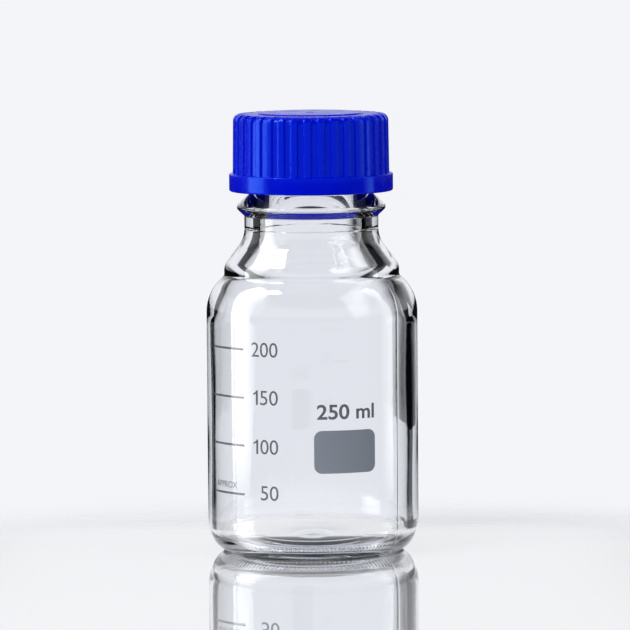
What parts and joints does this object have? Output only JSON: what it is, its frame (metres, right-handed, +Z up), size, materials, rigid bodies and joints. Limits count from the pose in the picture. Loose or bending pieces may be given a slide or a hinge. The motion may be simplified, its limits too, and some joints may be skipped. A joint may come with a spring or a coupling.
{
  "type": "reagent bottle",
  "caption": "Round glass laboratory bottle with a stepped shoulder, a beaded neck, a drip ring on the lip and a ribbed plastic screw cap that unscrews and lifts off.",
  "frame": {"origin": "middle of the plane that the foot rests on, on the bottle's axis", "axes": "+Z up along the bottle's axis; -Y is the front, where the volume marks are; +X to the right of the front"},
  "size_m": [0.07, 0.07, 0.1455],
  "materials": {
    "clear_glass": "clear polished borosilicate glass",
    "ring_plastic": "moulded blue polypropylene",
    "seal_rubber": "soft blue elastomer, matt",
    "cap_plastic": "moulded blue polypropylene, half gloss"
  },
  "bodies": {
    "bottle": {"glass_bottle": "clear_glass"},
    "pouring_ring": {"pouring_ring": "ring_plastic"},
    "seal": {"seal_disc": "seal_rubber"},
    "cap": {"screw_cap": "cap_plastic"}
  },
  "joints": [
    {"name": "ring_pull", "type": "slide", "parent": "bottle", "child": "pouring_ring", "axis": [0, 0, 1], "range_m": [0, 0.008]},
    {"name": "cap_lift", "type": "slide", "parent": "pouring_ring", "child": "seal", "axis": [0, 0, 1], "range_m": [0, 0.0281]},
    {"name": "cap_turn", "type": "hinge", "parent": "seal", "child": "cap", "pos_m": [0, 0, 0.13], "axis": [0, 0, 1], "range_deg": [0, 2520]}
  ],
  "couplings": [
    {"joint": "cap_lift", "follows": "cap_turn", "m_per_rad": 0.00063662}
  ]
}
